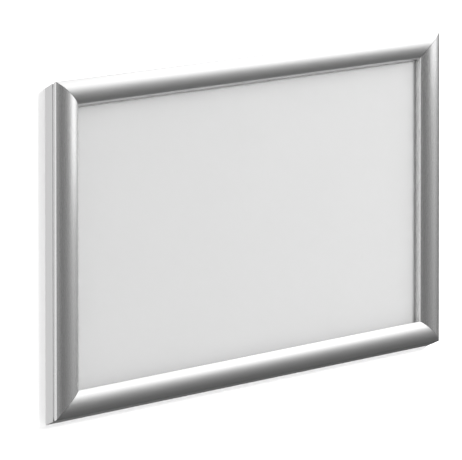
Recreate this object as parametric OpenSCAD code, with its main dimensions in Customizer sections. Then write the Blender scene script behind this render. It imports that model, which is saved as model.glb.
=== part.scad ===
// Wall-mounted snap frame: four mitred base rails carry a back panel, a poster insert and a
// clear sheet, and four hinged covers snap shut over their edges. Millimetres, +Z up.
// The origin is the centre of the face that lies on the wall; the front faces -Y.
//
// Every rail is drawn as a cross-section in (u, v): u runs from the outer edge of the frame
// towards its middle, and v runs from the wall towards the viewer.

/* [Insert] */
// Width of the poster insert
insert_w = 420; // [250:1:900]
// Height of the poster insert
insert_h = 297; // [180:1:900]
// Thickness of the poster insert
insert_t = 0.25; // [0.1:0.05:0.4]
// How far the covers overlap the insert's edge
insert_overlap = 10; // [9:0.5:11]
// Thickness of the clear sheet
clear_t = 0.5; // [0.3:0.1:1]

/* [Cover profile] */
// Face width of a side, from outer to inner edge
profile_w = 25; // [25:0.5:45]
// Wall thickness of the covers
cover_t = 1.1; // [0.9:0.05:1.2]
// Radius of the rounded shoulders
shoulder_r = 2; // [1.6:0.1:2.2]
// Height of the shoulders above the wall
shoulder_h = 20; // [19.5:0.5:26]
// Slope of the crown where it runs into the shoulders, in degrees
crown_slope = 36; // [30:1:50]
// Width of the foot that presses on the clear sheet
foot_w = 2.6; // [1.6:0.1:4]
// Gap under the foot when the cover is shut
foot_gap = 0.15; // [0.1:0.05:0.4]
// Gap along each mitre between two covers
mitre_gap = 0.3; // [0.2:0.05:0.8]

/* [Hinge] */
// Radius of the hinge bead on the cover
bead_r = 1.6; // [1.5:0.05:1.8]
// Radial clearance of the bead in its socket
bead_clear = 0.05; // [0.02:0.01:0.1]
// Wall thickness of the socket around the bead
socket_t = 1.1; // [0.9:0.05:1.3]
// Height of the hinge axis above the wall
pivot_h = 15.3; // [14.8:0.1:16]

/* [Base rail] */
// Thickness of the outer wall
outer_t = 1.5; // [1.2:0.1:1.5]
// Thickness of the floor against the wall
floor_t = 1.4; // [1:0.1:1.6]
// Thickness of the inner wall
inner_t = 1.2; // [1:0.1:1.6]
// Height of the face that the insert rests on
seat_h = 10.2; // [10.2:0.1:10.6]
// Thickness of the two lips of the panel slot
lip_t = 1.2; // [1:0.1:1.4]
// Reach of the upper lip past the inner wall
upper_lip = 3.8; // [2.5:0.1:6]
// Reach of the lower lip past the inner wall
lower_lip = 7.8; // [3:0.1:8.5]
// Gap along each mitre between two base rails
rail_gap = 0.1; // [0.05:0.05:0.3]

/* [Back panel] */
// Thickness of the back panel
panel_t = 1.9; // [1:0.1:2.2]
// Clearance of the panel in its slot, on each side
panel_clear = 0.05; // [0.02:0.01:0.2]
// Clearance between the panel's edge and the inner wall
panel_edge = 0.2; // [0.1:0.1:1]

/* [Springs] */
// Thickness of the spring strip
spring_t = 0.5; // [0.4:0.05:0.6]
// Length of each spring along its rail
spring_len = 24; // [16:1:40]
// Angle that the bow spans
bow_angle = 203; // [196:1:208]
// Radius of the rolled ends
eye_r = 0.9; // [0.8:0.05:1]
// Radial clearance of a rolled end in its cup
eye_clear = 0.05; // [0.02:0.01:0.1]
// Wall thickness of the cups
cup_t = 0.75; // [0.6:0.05:0.8]
// Springs on the top and bottom sides
springs_wide = 3; // [2:1:5]
// Springs on the left and right sides
springs_high = 2; // [1:1:4]
// Distance between the springs of one side
spring_pitch_wide = 100; // [60:5:110]
// Distance between the springs of a left or right side
spring_pitch_high = 140; // [60:5:150]

/* [Corner keys] */
// Thickness of the corner keys
key_t = 3; // [2:0.1:3]
// Length of each arm from the outer corner
key_arm = 40; // [36:1:46]
// Clearance between a key and the walls of the channel
key_clear = 0.2; // [0.1:0.05:0.4]
// Depth of the ribs that hold the keys down
rib_w = 1.5; // [1:0.1:2]
// Thickness of those ribs
rib_t = 1; // [0.8:0.1:1.2]
// Radius of the tapped holes for the set screws
tap_r = 2; // [1.5:0.1:2.5]
// Length of the set screws
set_len = 3.5; // [3.3:0.1:4]
// Width across the flats of the hexagon socket
hex_af = 2; // [1.5:0.1:2.5]

/* [Wall screws] */
// Radius of the screw holes
screw_hole_r = 2.25; // [1.5:0.05:3]
// Distance between the screw holes along a rail
screw_pitch = 300; // [120:5:400]

/* [Hidden] */
frame_w = insert_w + 2 * (profile_w - insert_overlap);
frame_h = insert_h + 2 * (profile_w - insert_overlap);
channel_w = profile_w - insert_overlap;      // outer edge to the inner wall
key_line = (outer_t + channel_w) / 2;        // middle of the channel
seam_gap = 0.1;                              // opened cover over the outer wall
outer_h = pivot_h - bead_r - seam_gap;       // top of the outer wall
socket_r = bead_r + bead_clear;
slot_low = seat_h - lip_t - panel_t - 2 * panel_clear;
key_slack = 0.2;                             // floor to key, taken up by the set screws
key_top = floor_t + key_slack + key_t;
insert_top = seat_h + insert_t;
clear_top = insert_top + clear_t;
foot_h = clear_top + foot_gap;

// Crown: one arc that runs smoothly into both shoulder rounds.
shoulder_v = shoulder_h - shoulder_r;        // height of the rounds' centres
crown_r = (profile_w / 2 - shoulder_r) / sin(crown_slope) + shoulder_r;
crown_v = shoulder_v - (crown_r - shoulder_r) * cos(crown_slope);
crown_h = crown_v + crown_r;

// Spring: the cup on the cover's leg and the cup on the rail's inner wall.
leg_t = 1.1;
leg_u = bead_r + socket_r + socket_t + 0.55;
cup_r = eye_r + eye_clear + cup_t;
cup_cover = [leg_u + 1.3, pivot_h - 4.7];
cup_rail = [channel_w - 1.4, seat_h - 1.8];
chord = norm(cup_rail - cup_cover);
chord_a = atan2(cup_rail[1] - cup_cover[1], cup_rail[0] - cup_cover[0]);
bow_r = chord / (2 * sin(bow_angle / 2));
bow_mid = (cup_cover + cup_rail) / 2
    - bow_r * cos(bow_angle / 2) * [-sin(chord_a), cos(chord_a)] * -1;
cover_cup_open = [180, 270];                 // from and to, where the strip swings
rail_cup_open = [111, 293];

// A cover that swings must stay on its own side of the mitre.
leg_trim = bead_r + norm(cup_cover - [bead_r, pivot_h]) + cup_r + 0.4;
bead_trim = 2 * bead_r + mitre_gap;
relief_angle = 5;

big = 60;                                    // longer than any profile is wide
eps = 1;
fine = 64;

// ---- Placing ----

// Length of side i: 0 bottom, 1 left, 2 top, 3 right.
function side_len(i) = i % 2 == 0 ? frame_w : frame_h;

// Turns what is drawn for the bottom side into side i.
module side(i) {
    rotate([0, 90 * i, 0])
        translate([0, 0, -(i % 2 == 0 ? frame_h : frame_w) / 2])
            children();
}

// Extrudes a (u, v) section along a rail, from x0 over a length.
module along(x0, len) {
    multmatrix([[0, 0, 1, x0], [0, -1, 0, 0], [1, 0, 0, 0], [0, 0, 0, 1]])
        linear_extrude(len) children();
}

// The space between the two mitre planes of a rail, each set back by half a gap.
module mitred(len, gap) {
    half = len / 2 - gap / 2;
    intersection() {
        children();
        translate([0, eps, 0])
            rotate([90, 0, 0])
                linear_extrude(crown_h + 2 * eps)
                    polygon([
                        [-half - eps, -eps], [half + eps, -eps],
                        [half - profile_w - eps, profile_w + eps],
                        [-half + profile_w + eps, profile_w + eps]]);
    }
}

// Repeats a cut for both ends of a rail.
module both_ends() {
    children();
    mirror([1, 0, 0]) children();
}

// Puts a piece drawn for the bottom left corner at corner c, as [right, top].
module corner(c) {
    mirror([c[0], 0, 0])
        mirror([0, 0, c[1]])
            translate([-frame_w / 2, 0, -frame_h / 2])
                rotate([90, 0, 0])
                    children();
}

// ---- Sections ----

// A pie slice from angle a0 to a1.
module slice(r, a0, a1) {
    steps = ceil((a1 - a0) / 45);
    polygon(concat([[0, 0]], [for (k = [0:steps])
        2 * r * [cos(a0 + (a1 - a0) * k / steps), sin(a0 + (a1 - a0) * k / steps)]]));
}

// A round cup that is open between two angles.
module cup_section(open) {
    difference() {
        circle(cup_r, $fn = fine);
        circle(eye_r + eye_clear, $fn = fine);
        slice(cup_r, open[0], open[1]);
    }
}

module base_section() {
    difference() {
        union() {
            square([outer_t, outer_h]);
            square([channel_w + inner_t, floor_t]);
            translate([channel_w, 0]) square([inner_t, seat_h]);
            // hinge socket, on a block that grows out of the outer wall
            translate([bead_r, pivot_h]) circle(socket_r + socket_t, $fn = fine);
            translate([0, pivot_h - socket_r - 1.6])
                square([bead_r + socket_r + socket_t, 1.6 + socket_r]);
            // ribs that hold the corner keys down
            translate([outer_t - eps / 2, key_top]) square([rib_w + eps / 2, rib_t]);
            translate([channel_w - rib_w, key_top]) square([rib_w + eps / 2, rib_t]);
            // slot for the back panel
            translate([channel_w + eps / 2, slot_low - lip_t])
                square([inner_t + lower_lip - eps / 2, lip_t]);
            translate([channel_w + eps / 2, seat_h - lip_t])
                square([inner_t + upper_lip - eps / 2, lip_t]);
            translate(cup_rail) cup_section(rail_cup_open);
        }
        translate([bead_r, pivot_h]) circle(socket_r, $fn = fine);
        // nothing stands out of the rail's outer face
        translate([-big, 0]) square([big, crown_h]);
        // room for the cover's flank, shut and open
        translate([-eps, outer_h]) square([bead_r + eps, pivot_h - outer_h]);
        translate([-2 * bead_r, pivot_h - eps / 2])
            square([2 * bead_r + cover_t + 0.15, bead_r + socket_t + eps + bead_r]);
    }
}

// The outline of the cover above height low, drawn in by an inset.
module cover_outline(inset, low) {
    round_r = shoulder_r - inset;
    join_u = shoulder_r - round_r * sin(crown_slope);
    join_v = shoulder_v + round_r * cos(crown_slope);
    intersection() {
        translate([profile_w / 2, crown_v]) circle(crown_r - inset, $fn = 2 * fine);
        translate([join_u, join_v]) square([profile_w - 2 * join_u, crown_r]);
    }
    for (u = [shoulder_r, profile_w - shoulder_r])
        translate([u, shoulder_v]) circle(round_r, $fn = fine);
    translate([join_u, low]) square([profile_w - 2 * join_u, join_v - low]);
    translate([inset, low]) square([profile_w - 2 * inset, shoulder_v - low]);
}

module cover_section() {
    difference() {
        union() {
            cover_outline(0, pivot_h);
            translate([profile_w - foot_w, foot_h]) square([foot_w, pivot_h - foot_h]);
        }
        cover_outline(cover_t, pivot_h - eps);
        translate([profile_w - foot_w - eps, foot_h + cover_t])
            square([foot_w + eps - cover_t, pivot_h - foot_h]);
    }
    // hinge bead under the outer flank
    translate([bead_r, pivot_h]) circle(bead_r, $fn = fine);
}

// The leg that the springs push on, with its cup.
module leg_section() {
    difference() {
        translate([leg_u, cup_cover[1]])
            square([leg_t, crown_h - cup_cover[1]]);
        translate([0, crown_v])
            difference() {
                square([profile_w, crown_r + eps]);
                translate([profile_w / 2, 0]) circle(crown_r - cover_t / 2, $fn = 2 * fine);
            }
        translate(cup_cover) circle(eye_r + eye_clear, $fn = fine);
    }
    translate(cup_cover) cup_section(cover_cup_open);
}

module spring_section() {
    difference() {
        union() {
            translate(bow_mid)
                difference() {
                    circle(bow_r + spring_t / 2, $fn = fine);
                    circle(bow_r - spring_t / 2, $fn = fine);
                    slice(bow_r, chord_a + bow_angle / 2 - 90, chord_a + 270 - bow_angle / 2);
                }
            for (p = [cup_cover, cup_rail]) translate(p) circle(eye_r, $fn = fine);
        }
        for (p = [cup_cover, cup_rail]) translate(p) circle(eye_r - spring_t, $fn = fine);
    }
}

// ---- Pieces ----

module base_rail(i) {
    len = side_len(i);
    color([0.74, 0.75, 0.76])
        side(i)
            difference() {
                mitred(len, rail_gap) along(-len / 2, len) base_section();
                if (i % 2 == 0)
                    for (x = [-screw_pitch / 2, screw_pitch / 2])
                        translate([x, eps, key_line])
                            rotate([90, 0, 0])
                                cylinder(h = floor_t + 2 * eps, r = screw_hole_r, $fn = fine);
            }
}

module snap_cover(i) {
    len = side_len(i);
    color([0.80, 0.81, 0.82])
        side(i) {
            difference() {
                mitred(len, mitre_gap) along(-len / 2, len) cover_section();
                // the bead stops short of the corner, and the flank above it is bevelled
                both_ends()
                    translate([len / 2, 0, -eps])
                        rotate([0, 0, 180])
                            linear_extrude(2 * bead_r + 2 * eps)
                                polygon([
                                    [-eps, 0], [bead_trim, 0], [bead_trim, pivot_h],
                                    [bead_r + mitre_gap, pivot_h],
                                    [-eps, pivot_h + bead_r + mitre_gap + eps]]);
                // the foot's ends lean back, because they swing inwards before they rise
                both_ends()
                    translate([len / 2 - mitre_gap / 2, -pivot_h, 0])
                        rotate([0, -45, 0])
                            rotate([0, 0, relief_angle])
                                translate([0, 0, sqrt(2) * (profile_w - foot_w - 2)])
                                    cube([5, pivot_h, sqrt(2) * (foot_w + 5)]);
            }
            along(-len / 2 + leg_trim, len - 2 * leg_trim) leg_section();
        }
}

module springs(i) {
    n = i % 2 == 0 ? springs_wide : springs_high;
    pitch = i % 2 == 0 ? spring_pitch_wide : spring_pitch_high;
    color([0.55, 0.57, 0.60])
        side(i)
            for (k = [0:n - 1])
                along((k - (n - 1) / 2) * pitch - spring_len / 2, spring_len) spring_section();
}

// Places of the set screws, as distances from the outer corner.
set_places = [
    for (d = [0.58, 0.84]) [key_arm * d, key_line],
    for (d = [0.58, 0.84]) [key_line, key_arm * d]];

module corner_key(c) {
    low = outer_t + key_clear;
    high = channel_w - key_clear;
    color([0.62, 0.63, 0.65])
        corner(c)
            translate([0, 0, floor_t + key_slack])
                linear_extrude(key_t)
                    difference() {
                        polygon([
                            [low + key_t, low], [key_arm, low], [key_arm, high], [high, high],
                            [high, key_arm], [low, key_arm], [low, low + key_t]]);
                        for (p = set_places) translate(p) circle(tap_r, $fn = fine);
                    }
}

module set_screws(c) {
    color([0.25, 0.25, 0.27])
        corner(c)
            for (p = set_places)
                translate([p[0], p[1], floor_t])
                    difference() {
                        cylinder(h = set_len, r = tap_r - 0.05, $fn = fine);
                        translate([0, 0, set_len / 2])
                            cylinder(h = set_len, r = hex_af / sqrt(3), $fn = 6);
                    }
}

// A flat sheet from height v over a thickness, seen from the front as w by h.
module sheet(w, h, v, t) {
    translate([-w / 2, -v - t, -h / 2]) cube([w, t, h]);
}

module back_panel() {
    inset = 2 * (channel_w + inner_t + panel_edge);
    color([0.86, 0.86, 0.84])
        sheet(frame_w - inset, frame_h - inset, slot_low + panel_clear, panel_t);
}

module poster_insert() {
    color([0.95, 0.95, 0.95]) sheet(insert_w, insert_h, seat_h, insert_t);
}

module clear_sheet() {
    color([0.88, 0.89, 0.90, 0.5]) sheet(insert_w, insert_h, insert_top, clear_t);
}

sides = ["bottom", "left", "top", "right"];
for (i = [0:3]) {
    base_rail(i);
    snap_cover(i);
    springs(i);
}
corners = [["bottom_left", [0, 0]], ["bottom_right", [1, 0]],
           ["top_left", [0, 1]], ["top_right", [1, 1]]];
for (c = corners) {
    corner_key(c[1]);
    set_screws(c[1]);
}
back_panel();
poster_insert();
clear_sheet();
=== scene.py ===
"""Looks for the wall-mounted snap frame: satin aluminium, springs, paper under a clear sheet.

+X is to the viewer's right, +Z is up, the wall is the plane Y = 0 and the front faces -Y.
"""
import math

import bpy
import numpy as np
from mathutils import Matrix, Vector


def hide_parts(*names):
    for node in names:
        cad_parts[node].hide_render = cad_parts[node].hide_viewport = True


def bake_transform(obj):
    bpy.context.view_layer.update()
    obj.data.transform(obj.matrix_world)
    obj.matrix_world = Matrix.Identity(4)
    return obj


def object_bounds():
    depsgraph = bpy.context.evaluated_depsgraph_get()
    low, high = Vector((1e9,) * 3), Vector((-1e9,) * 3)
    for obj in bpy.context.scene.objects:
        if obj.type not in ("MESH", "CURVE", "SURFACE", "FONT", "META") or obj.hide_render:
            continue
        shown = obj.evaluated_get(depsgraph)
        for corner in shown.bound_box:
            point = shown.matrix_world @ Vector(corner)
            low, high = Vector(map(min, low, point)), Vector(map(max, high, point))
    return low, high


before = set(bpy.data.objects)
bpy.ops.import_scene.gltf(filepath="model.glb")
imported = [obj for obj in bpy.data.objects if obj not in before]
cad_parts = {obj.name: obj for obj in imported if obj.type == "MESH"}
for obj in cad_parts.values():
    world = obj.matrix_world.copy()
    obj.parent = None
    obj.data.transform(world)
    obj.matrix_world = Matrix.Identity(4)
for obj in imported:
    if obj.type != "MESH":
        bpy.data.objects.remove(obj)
cad_lo, cad_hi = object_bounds()
cad_size = cad_hi - cad_lo

MM = 0.001
SIDES = ("bottom", "left", "top", "right")
CORNERS = ("bottom_left", "bottom_right", "top_left", "top_right")


# ---- Colours and finishes ----

ALUMINIUM = (0.78, 0.78, 0.78)
ALUMINIUM_WORN = (0.84, 0.84, 0.84)
SPRING_STEEL = (0.33, 0.35, 0.39)
ZINC = (0.55, 0.56, 0.58)
BLACK_OXIDE = (0.03, 0.03, 0.032)
PANEL_WHITE = (0.78, 0.78, 0.76)
PAPER_WHITE = (0.92, 0.92, 0.92)
CLEAR_TINT = (0.80, 0.80, 0.80)

LINE_SPREAD = 0.8           # 0 spreads a reflection evenly, 1 only across the drawing lines
QUARTER_TURN = 0.25         # turns the shader's wide direction from along the lines to across
LINE_SCALE = 5000.0         # drawing lines: noise cells in a metre
LINE_DEPTH = 0.1 * MM
GRAIN_DEPTH = 0.05 * MM
FIBRE_DEPTH = 0.02 * MM


# ---- Node groups that several finishes share ----

def new_group(name, inputs, outputs):
    """An empty shader node group with the named sockets, and its input and output nodes."""
    group = bpy.data.node_groups.new(name, "ShaderNodeTree")
    for label, kind, value in inputs:
        made = group.interface.new_socket(label, in_out="INPUT", socket_type=kind)
        if value is not None:
            made.default_value = value
    for label, kind in outputs:
        group.interface.new_socket(label, in_out="OUTPUT", socket_type=kind)
    return group, group.nodes.new("NodeGroupInput"), group.nodes.new("NodeGroupOutput")


def make_drawn_lines():
    """Fine lines that run along a rail: noise stretched a hundredfold along one axis.

    Along picks the axis of the lines, 0 for X and 1 for Z. Height feeds a bump and Mask is
    the same noise for roughness and colour.
    """
    group, source, sink = new_group(
        "drawn_lines",
        [("Along", "NodeSocketFloat", 0.0), ("Scale", "NodeSocketFloat", 900.0)],
        [("Mask", "NodeSocketFloat"), ("Height", "NodeSocketFloat")])
    nodes, links = group.nodes, group.links
    place = nodes.new("ShaderNodeTexCoord")
    parts = nodes.new("ShaderNodeSeparateXYZ")
    links.new(place.outputs["Object"], parts.inputs["Vector"])
    stretched = []
    for axis, own in (("X", 0.0), ("Z", 1.0)):
        # Along is 0 or 1, so the distance is 0 on the axis that the lines follow and 1 across it
        offset = nodes.new("ShaderNodeMath")
        offset.operation = "SUBTRACT"
        links.new(source.outputs["Along"], offset.inputs[0])
        offset.inputs[1].default_value = own
        distance = nodes.new("ShaderNodeMath")
        distance.operation = "ABSOLUTE"
        links.new(offset.outputs[0], distance.inputs[0])
        share = nodes.new("ShaderNodeMapRange")
        share.inputs["To Min"].default_value = 0.01
        share.inputs["To Max"].default_value = 1.0
        links.new(distance.outputs[0], share.inputs["Value"])
        scaled = nodes.new("ShaderNodeMath")
        scaled.operation = "MULTIPLY"
        links.new(parts.outputs[axis], scaled.inputs[0])
        links.new(share.outputs["Result"], scaled.inputs[1])
        stretched.append(scaled)
    joined = nodes.new("ShaderNodeCombineXYZ")
    links.new(stretched[0].outputs[0], joined.inputs["X"])
    links.new(parts.outputs["Y"], joined.inputs["Y"])
    links.new(stretched[1].outputs[0], joined.inputs["Z"])
    noise = nodes.new("ShaderNodeTexNoise")
    noise.inputs["Detail"].default_value = 2.0
    links.new(joined.outputs["Vector"], noise.inputs["Vector"])
    links.new(source.outputs["Scale"], noise.inputs["Scale"])
    links.new(noise.outputs["Fac"], sink.inputs["Mask"])
    links.new(noise.outputs["Fac"], sink.inputs["Height"])
    return group


def make_speckle():
    """Fine even speckle for cast, rolled and paper surfaces: one noise, as a mask and a height."""
    group, source, sink = new_group(
        "speckle",
        [("Scale", "NodeSocketFloat", 600.0), ("Detail", "NodeSocketFloat", 3.0)],
        [("Mask", "NodeSocketFloat"), ("Height", "NodeSocketFloat")])
    nodes, links = group.nodes, group.links
    place = nodes.new("ShaderNodeTexCoord")
    noise = nodes.new("ShaderNodeTexNoise")
    links.new(place.outputs["Object"], noise.inputs["Vector"])
    links.new(source.outputs["Scale"], noise.inputs["Scale"])
    links.new(source.outputs["Detail"], noise.inputs["Detail"])
    links.new(noise.outputs["Fac"], sink.inputs["Mask"])
    links.new(noise.outputs["Fac"], sink.inputs["Height"])
    return group


DRAWN_LINES = make_drawn_lines()
SPECKLE = make_speckle()


# ---- Finishes ----

def new_finish(name, color, metallic, roughness):
    """A Principled material with its constants on the shader's own sockets."""
    material = bpy.data.materials.new(name)
    material.use_nodes = True
    shader = material.node_tree.nodes["Principled BSDF"]
    shader.inputs["Base Color"].default_value = (*color, 1.0)
    shader.inputs["Metallic"].default_value = metallic
    shader.inputs["Roughness"].default_value = roughness
    return material, shader


def place_group(material, group, **values):
    """Puts a shared node group into a material, with this material's own values."""
    node = material.node_tree.nodes.new("ShaderNodeGroup")
    node.node_tree = group
    for label, value in values.items():
        node.inputs[label].default_value = value
    return node


def vary(material, mask, socket, low, high):
    """Drives one shader socket by a mask, from low to high; both are numbers or both colours."""
    nodes, links = material.node_tree.nodes, material.node_tree.links
    if isinstance(low, tuple):
        mix = nodes.new("ShaderNodeMix")
        mix.data_type = "RGBA"
        mix.inputs["A"].default_value = (*low, 1.0)
        mix.inputs["B"].default_value = (*high, 1.0)
        links.new(mask, mix.inputs["Factor"])
        links.new(mix.outputs["Result"], socket)
    else:
        ramp = nodes.new("ShaderNodeMapRange")
        ramp.inputs["From Min"].default_value = 0.3
        ramp.inputs["From Max"].default_value = 0.7
        ramp.inputs["To Min"].default_value = low
        ramp.inputs["To Max"].default_value = high
        links.new(mask, ramp.inputs["Value"])
        links.new(ramp.outputs["Result"], socket)


def relief(material, shader, height, strength, distance):
    """Feeds a height into the shader's normal through a bump."""
    nodes, links = material.node_tree.nodes, material.node_tree.links
    bump = nodes.new("ShaderNodeBump")
    bump.inputs["Strength"].default_value = strength
    bump.inputs["Distance"].default_value = distance
    links.new(height, bump.inputs["Height"])
    links.new(bump.outputs["Normal"], shader.inputs["Normal"])


def satin_aluminium(name, along, roughness, depth):
    """Silver anodised aluminium with faint drawing lines; along is 0 for X and 1 for Z.

    The tangent follows the lines, and the shader spreads reflections at right angles to it.
    """
    material, shader = new_finish(name, ALUMINIUM, 1.0, roughness)
    lines = place_group(material, DRAWN_LINES, Along=along, Scale=LINE_SCALE)
    vary(material, lines.outputs["Mask"], shader.inputs["Base Color"], ALUMINIUM, ALUMINIUM_WORN)
    vary(material, lines.outputs["Mask"], shader.inputs["Roughness"],
         roughness - 0.03, roughness + 0.03)
    relief(material, shader, lines.outputs["Height"], depth, LINE_DEPTH)
    follow = material.node_tree.nodes.new("ShaderNodeCombineXYZ")
    follow.inputs["Z" if along else "X"].default_value = 1.0
    material.node_tree.links.new(follow.outputs["Vector"], shader.inputs["Tangent"])
    shader.inputs["Anisotropic"].default_value = LINE_SPREAD
    shader.inputs["Anisotropic Rotation"].default_value = QUARTER_TURN
    return material


def plain_metal(name, color, roughness, scale):
    """Rolled or plated steel with a fine speckle in its gloss."""
    material, shader = new_finish(name, color, 1.0, roughness)
    speckle = place_group(material, SPECKLE, Scale=scale)
    vary(material, speckle.outputs["Mask"], shader.inputs["Roughness"],
         roughness - 0.06, roughness + 0.06)
    relief(material, shader, speckle.outputs["Height"], 0.1, GRAIN_DEPTH)
    return material


def panel_plastic():
    """White polystyrene panel with a light grain."""
    material, shader = new_finish("panel_plastic", PANEL_WHITE, 0.0, 0.55)
    speckle = place_group(material, SPECKLE, Scale=900.0)
    relief(material, shader, speckle.outputs["Height"], 0.15, GRAIN_DEPTH)
    return material


def printed_paper():
    """Plain white paper with a faint fibre."""
    material, shader = new_finish("printed_paper", PAPER_WHITE, 0.0, 0.8)
    speckle = place_group(material, SPECKLE, Scale=1500.0)
    relief(material, shader, speckle.outputs["Height"], 0.1, FIBRE_DEPTH)
    return material


def anti_glare_sheet():
    """Clear sheet with a matte, finely etched face; the paper shows through."""
    material, shader = new_finish("anti_glare_sheet", CLEAR_TINT, 0.0, 0.42)
    shader.inputs["Alpha"].default_value = 0.35
    speckle = place_group(material, SPECKLE, Scale=2500.0)
    vary(material, speckle.outputs["Mask"], shader.inputs["Roughness"], 0.38, 0.46)
    return material


def repaint(node, material):
    """Gives a CAD node's every slot one material."""
    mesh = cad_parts[node].data
    mesh.materials.clear()
    mesh.materials.append(material)


def paint_cad():
    """Sets the finish of every CAD node."""
    steel = plain_metal("spring_steel", SPRING_STEEL, 0.32, 400.0)
    zinc = plain_metal("zinc_plate", ZINC, 0.38, 700.0)
    oxide = plain_metal("black_oxide", BLACK_OXIDE, 0.45, 900.0)
    covers = [satin_aluminium("satin_cover_along_x", 0.0, 0.35, 0.3),
              satin_aluminium("satin_cover_along_z", 1.0, 0.26, 0.12)]
    rails = [satin_aluminium("satin_rail_along_x", 0.0, 0.42, 0.6),
             satin_aluminium("satin_rail_along_z", 1.0, 0.42, 0.15)]
    for i, side in enumerate(SIDES):
        repaint("snap_cover_" + side, covers[i % 2])
        repaint("base_rail_" + side, rails[i % 2])
        build_springs(i, side, steel)
    for corner in CORNERS:
        repaint("corner_key_" + corner, zinc)
        repaint("set_screws_" + corner, oxide)
    repaint("back_panel", panel_plastic())
    repaint("poster_insert", printed_paper())
    repaint("clear_sheet", anti_glare_sheet())


# ---- Springs ----

# Places in a rail's cross-section are (u, v): u inwards from the outer edge, v out from the wall.
COVER_CUP = np.array([6.20, 10.60]) * MM
RAIL_CUP = np.array([13.60, 8.40]) * MM
BOW_ANGLE = math.radians(203)
STRIP_T = 0.5 * MM
STRIP_LEN = 24 * MM
ROLL_R = 0.62 * MM
ROLL_ANGLE = math.radians(290)
EDGE_R = 0.12 * MM
SPRING_PLACES = {"bottom": (-0.1, 0.0, 0.1), "top": (-0.1, 0.0, 0.1),
                 "left": (-0.07, 0.07), "right": (-0.07, 0.07)}


def turned(angle):
    """Unit vectors at these angles, as an array of (cos, sin)."""
    return np.stack([np.cos(angle), np.sin(angle)], axis=-1)


def spring_line():
    """The strip's middle line from the cover's cup to the rail's, and its unit normals.

    A bow of BOW_ANGLE about the point M runs into a roll about each cup's centre C. The bow's
    radius is |MC| + ROLL_R, so both rolls lie inside it and meet it without a kink.
    """
    span = RAIL_CUP - COVER_CUP
    chord = np.linalg.norm(span)
    across = np.array([-span[1], span[0]]) / chord
    reach = chord / (2 * math.sin(BOW_ANGLE / 2))
    middle = (COVER_CUP + RAIL_CUP) / 2 + reach * math.cos(BOW_ANGLE / 2) * across
    to_cover = COVER_CUP - middle
    first = math.atan2(to_cover[1], to_cover[0])
    last = first + BOW_ANGLE
    rolls = np.linspace(0.0, ROLL_ANGLE, 28)
    start_roll = turned(first - rolls[::-1])
    bow = turned(np.linspace(first, last, 60)[1:-1])
    end_roll = turned(last + rolls)
    line = np.concatenate([COVER_CUP + ROLL_R * start_roll, middle + (reach + ROLL_R) * bow,
                           RAIL_CUP + ROLL_R * end_roll])
    return line, np.concatenate([start_roll, bow, end_roll])


def strip_grid(line, normals, centre):
    """A flat strip along a line in (u, v), as a closed grid of points (x, u, v).

    Each ring is a rectangle STRIP_LEN by STRIP_T with its corners rounded by EDGE_R:
    point = line + normal * t and x = centre + w, with (w, t) going once round the rectangle.
    """
    quarter = np.linspace(0.0, math.pi / 2, 4)
    corners = [(1, 1, 0.0), (-1, 1, 0.5), (-1, -1, 1.0), (1, -1, 1.5)]
    ring = np.concatenate([
        np.array([sx * (STRIP_LEN / 2 - EDGE_R), sy * (STRIP_T / 2 - EDGE_R)])
        + EDGE_R * turned(quarter + turn * math.pi) for sx, sy, turn in corners])
    flat = line[:, None, :] + normals[:, None, :] * ring[None, :, 1:2]
    along = np.broadcast_to(centre + ring[None, :, 0:1], (len(line), len(ring), 1))
    return np.concatenate([along, flat], axis=2)


def grid_faces(rows, columns, first):
    """Quads between neighbouring rings, closed round the ring, and one face at each end."""
    i, j = np.meshgrid(np.arange(rows - 1), np.arange(columns), indexing="ij")
    k = (j + 1) % columns
    quads = np.stack([i * columns + j, (i + 1) * columns + j, (i + 1) * columns + k,
                      i * columns + k], axis=-1).reshape(-1, 4) + first
    start = list(range(first, first + columns))
    end = list(range(first + (rows - 1) * columns, first + rows * columns))[::-1]
    return quads.tolist() + [start, end]


def on_side(points, i):
    """Points (x, u, v) of the bottom side, turned by 90 i degrees into side i's place."""
    half = cad_size[2] / 2 if i % 2 == 0 else cad_size[0] / 2
    x, z = points[..., 0], points[..., 1] - half
    c, s = ((1, 0), (0, 1), (-1, 0), (0, -1))[i]
    return np.stack([c * x + s * z, -points[..., 2], c * z - s * x], axis=-1)


def build_springs(i, side, steel):
    """The bow springs of one side. They bend between the frame and that side's cover."""
    line, normals = spring_line()
    points, faces = [], []
    for centre in SPRING_PLACES[side]:
        grid = strip_grid(line, normals, centre)
        faces += grid_faces(grid.shape[0], grid.shape[1], sum(len(p) for p in points))
        points.append(on_side(grid.reshape(-1, 3), i))
    mesh = bpy.data.meshes.new("bow_springs_" + side)
    mesh.from_pydata(np.concatenate(points).tolist(), [], faces)
    mesh.polygons.foreach_set("use_smooth", [True] * len(mesh.polygons))
    piece = bpy.data.objects.new("bow_springs_" + side, mesh)
    bpy.context.scene.collection.objects.link(piece)
    mesh.materials.append(steel)
    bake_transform(piece)
    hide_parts("springs_" + side)


# ---- Wall, floor, light and camera ----

WALL_SIZE = 6.0
FLOOR_DROP = 1.2
WALL_GAP = 0.2 * MM
WALL_GLOW = 0.35


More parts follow.
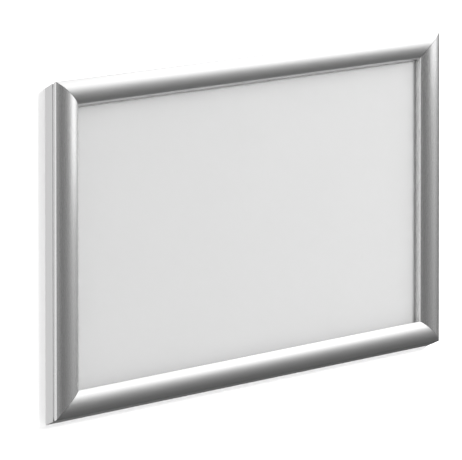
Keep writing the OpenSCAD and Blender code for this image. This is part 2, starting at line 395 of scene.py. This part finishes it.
def stage_plane(name, corners, color, glow, one_sided):
    """A pale plane that isn't part of the object; one_sided hides it from behind."""
    mesh = bpy.data.meshes.new(name)
    mesh.from_pydata(corners, [], [(0, 1, 2, 3)])
    plane = bpy.data.objects.new(name, mesh)
    bpy.context.scene.collection.objects.link(plane)
    material, shader = new_finish(name, color, 0.0, 0.9)
    shader.inputs["Emission Color"].default_value = (1.0, 1.0, 1.0, 1.0)
    shader.inputs["Emission Strength"].default_value = glow
    if one_sided:
        nodes, links = material.node_tree.nodes, material.node_tree.links
        side = nodes.new("ShaderNodeNewGeometry")
        clear = nodes.new("ShaderNodeBsdfTransparent")
        choose = nodes.new("ShaderNodeMixShader")
        links.new(side.outputs["Backfacing"], choose.inputs["Fac"])
        links.new(shader.outputs["BSDF"], choose.inputs[1])
        links.new(clear.outputs["BSDF"], choose.inputs[2])
        links.new(choose.outputs["Shader"], nodes["Material Output"].inputs["Surface"])
    mesh.materials.append(material)
    plane.visible_glossy = False
    return plane


def build_stage():
    """A white wall just behind the frame and a pale floor well below it."""
    half = WALL_SIZE / 2
    wall_corners = [(-half, WALL_GAP, -FLOOR_DROP), (half, WALL_GAP, -FLOOR_DROP),
                    (half, WALL_GAP, half), (-half, WALL_GAP, half)]
    stage_plane("wall", wall_corners, (0.9, 0.9, 0.9), WALL_GLOW, True)
    floor_corners = [(-half, -WALL_SIZE, -FLOOR_DROP), (half, -WALL_SIZE, -FLOOR_DROP),
                     (half, half, -FLOOR_DROP), (-half, half, -FLOOR_DROP)]
    stage_plane("floor", floor_corners, (0.85, 0.85, 0.85), 0.0, False)


def area_light(name, place, target, size, power):
    """A square soft light at place, aimed at target."""
    data = bpy.data.lights.new(name, "AREA")
    data.shape = "SQUARE"
    data.size = size
    data.energy = power
    light = bpy.data.objects.new(name, data)
    light.location = place
    aim = Vector(target) - Vector(place)
    light.rotation_euler = aim.to_track_quat("-Z", "Y").to_euler()
    bpy.context.scene.collection.objects.link(light)
    return light


SKY = (
    # how it joins, towards, then (cosine from that direction, brightness) steps
    ("LIGHTEN", (0.45, -0.29, 0.85),
     ((-1.0, 0.04), (-0.1, 0.05), (0.3, 0.08), (0.60, 0.15), (0.80, 0.62))),
    ("MULTIPLY", (0.0, 1.0, 0.0), ((-1.0, 1.0), (0.10, 1.0), (0.35, 0.1))),
    ("LIGHTEN", (0.90, 0.40, 0.20), ((0.0, 0.0), (0.55, 0.03), (0.95, 0.06))),
    ("LIGHTEN", (-1.0, 0.15, 0.15),
     ((0.0, 0.02), (0.2, 0.06), (0.5, 0.14), (0.72, 0.3), (0.85, 0.52))),
    ("LIGHTEN", (0.0, 1.0, 0.1), ((0.0, 0.0), (0.65, 0.03), (0.93, 0.42))),
)
SKY_STRENGTH = 2.0


def sky_part(nodes, links, direction, towards, steps):
    """Brightness by the cosine between a direction and towards, stepped through a ramp."""
    cosine = nodes.new("ShaderNodeVectorMath")
    cosine.operation = "DOT_PRODUCT"
    cosine.inputs[1].default_value = Vector(towards).normalized()
    links.new(direction, cosine.inputs[0])
    spread = nodes.new("ShaderNodeMapRange")
    spread.inputs["From Min"].default_value = -1.0
    links.new(cosine.outputs["Value"], spread.inputs["Value"])
    ramp = nodes.new("ShaderNodeValToRGB")
    stops = ramp.color_ramp.elements
    while len(stops) < len(steps):
        stops.new(0.5)
    for stop, (at, level) in zip(stops, steps):
        stop.position = (at + 1.0) / 2
        stop.color = (level, level, level, 1.0)
    links.new(spread.outputs["Result"], ramp.inputs["Fac"])
    return ramp.outputs["Color"]


def build_world():
    """Soft light from all round, joined from the parts of SKY.

    It is white above and at the left, dark below and in front, and shaded on the wall's side.
    Where the camera sees it past the wall's edge, it is plain white.
    """
    world = bpy.data.worlds.new("soft_world")
    world.use_nodes = True
    nodes, links = world.node_tree.nodes, world.node_tree.links
    place = nodes.new("ShaderNodeTexCoord")
    total = None
    for blend, towards, steps in SKY:
        part = sky_part(nodes, links, place.outputs["Generated"], towards, steps)
        if total is None:
            total = part
        else:
            joined = nodes.new("ShaderNodeMix")
            joined.data_type = "RGBA"
            joined.blend_type = blend
            joined.inputs["Factor"].default_value = 1.0
            links.new(total, joined.inputs["A"])
            links.new(part, joined.inputs["B"])
            total = joined.outputs["Result"]
    back = nodes["Background"]
    links.new(total, back.inputs["Color"])
    back.inputs["Strength"].default_value = SKY_STRENGTH
    plain = nodes.new("ShaderNodeBackground")
    plain.inputs["Color"].default_value = (0.9, 0.9, 0.9, 1.0)
    path = nodes.new("ShaderNodeLightPath")
    choose = nodes.new("ShaderNodeMixShader")
    links.new(path.outputs["Is Camera Ray"], choose.inputs["Fac"])
    links.new(back.outputs["Background"], choose.inputs[1])
    links.new(plain.outputs["Background"], choose.inputs[2])
    links.new(choose.outputs["Shader"], nodes["World Output"].inputs["Surface"])
    bpy.context.scene.world = world


def build_lights():
    """The soft world, a lamp at the top right that fades downwards, and a fill at the front.

    The fill isn't mirrored in the metal, so it lifts only the sheet, the paper and the wall.
    """
    build_world()
    centre = (0.0, 0.0, 0.0)
    area_light("from_top_right", (0.85, -0.60, 0.75), centre, 1.0, 2.2)
    fill = area_light("front_fill", (0.9, -2.2, 0.5), centre, 0.7, 56.0)
    fill.visible_glossy = False
    bpy.context.scene.view_settings.view_transform = "Standard"


# Angles are in radians, FOCAL and the shifts in widths of the image.
CAMERA_AT = Vector((-1.5917, -2.3868, -0.4525))
YAW = 0.62026
PITCH = -0.02593
ROLL = 0.00047
LEAN = -0.28084
SHIFT_X = 0.2341
SHIFT_Y = 1.0455
FOCAL = 6.0540


def build_camera():
    """The camera that sees the frame from the left and slightly below.

    Its rows lean against its columns, as after a straightening in software, so it hangs from
    an empty whose parent inverse holds the leaning axes. With R, F and U the right, forward
    and up axes of a plain camera, rows run along A = cos(LEAN) R + sin(LEAN) U and columns
    along U. The middle of the image looks along F - SHIFT_X / FOCAL A + SHIFT_Y / FOCAL U,
    and the lens grows with that vector's length.
    """
    turn = (Matrix.Rotation(-YAW, 3, "Z") @ Matrix.Rotation(PITCH, 3, "X")
            @ Matrix.Rotation(-ROLL, 3, "Y"))
    right, forward, up = (turn @ Vector(axis) for axis in ((1, 0, 0), (0, 1, 0), (0, 0, 1)))
    across = math.cos(LEAN) * right + math.sin(LEAN) * up
    middle = forward - SHIFT_X / FOCAL * across + SHIFT_Y / FOCAL * up
    ahead = middle.normalized()
    leaning = Matrix.Identity(4)
    for row in range(3):
        leaning[row][0] = across[row]
        leaning[row][1] = up[row]
        leaning[row][2] = -ahead[row]
        leaning[row][3] = CAMERA_AT[row]
    holder = bpy.data.objects.new("camera_holder", None)
    bpy.context.scene.collection.objects.link(holder)
    data = bpy.data.cameras.new("camera")
    data.lens = data.sensor_width * FOCAL * middle.length
    data.clip_start = 0.05
    camera = bpy.data.objects.new("camera", data)
    bpy.context.scene.collection.objects.link(camera)
    camera.parent = holder
    camera.matrix_parent_inverse = leaning
    bpy.context.scene.camera = camera


paint_cad()
build_stage()
build_lights()
build_camera()
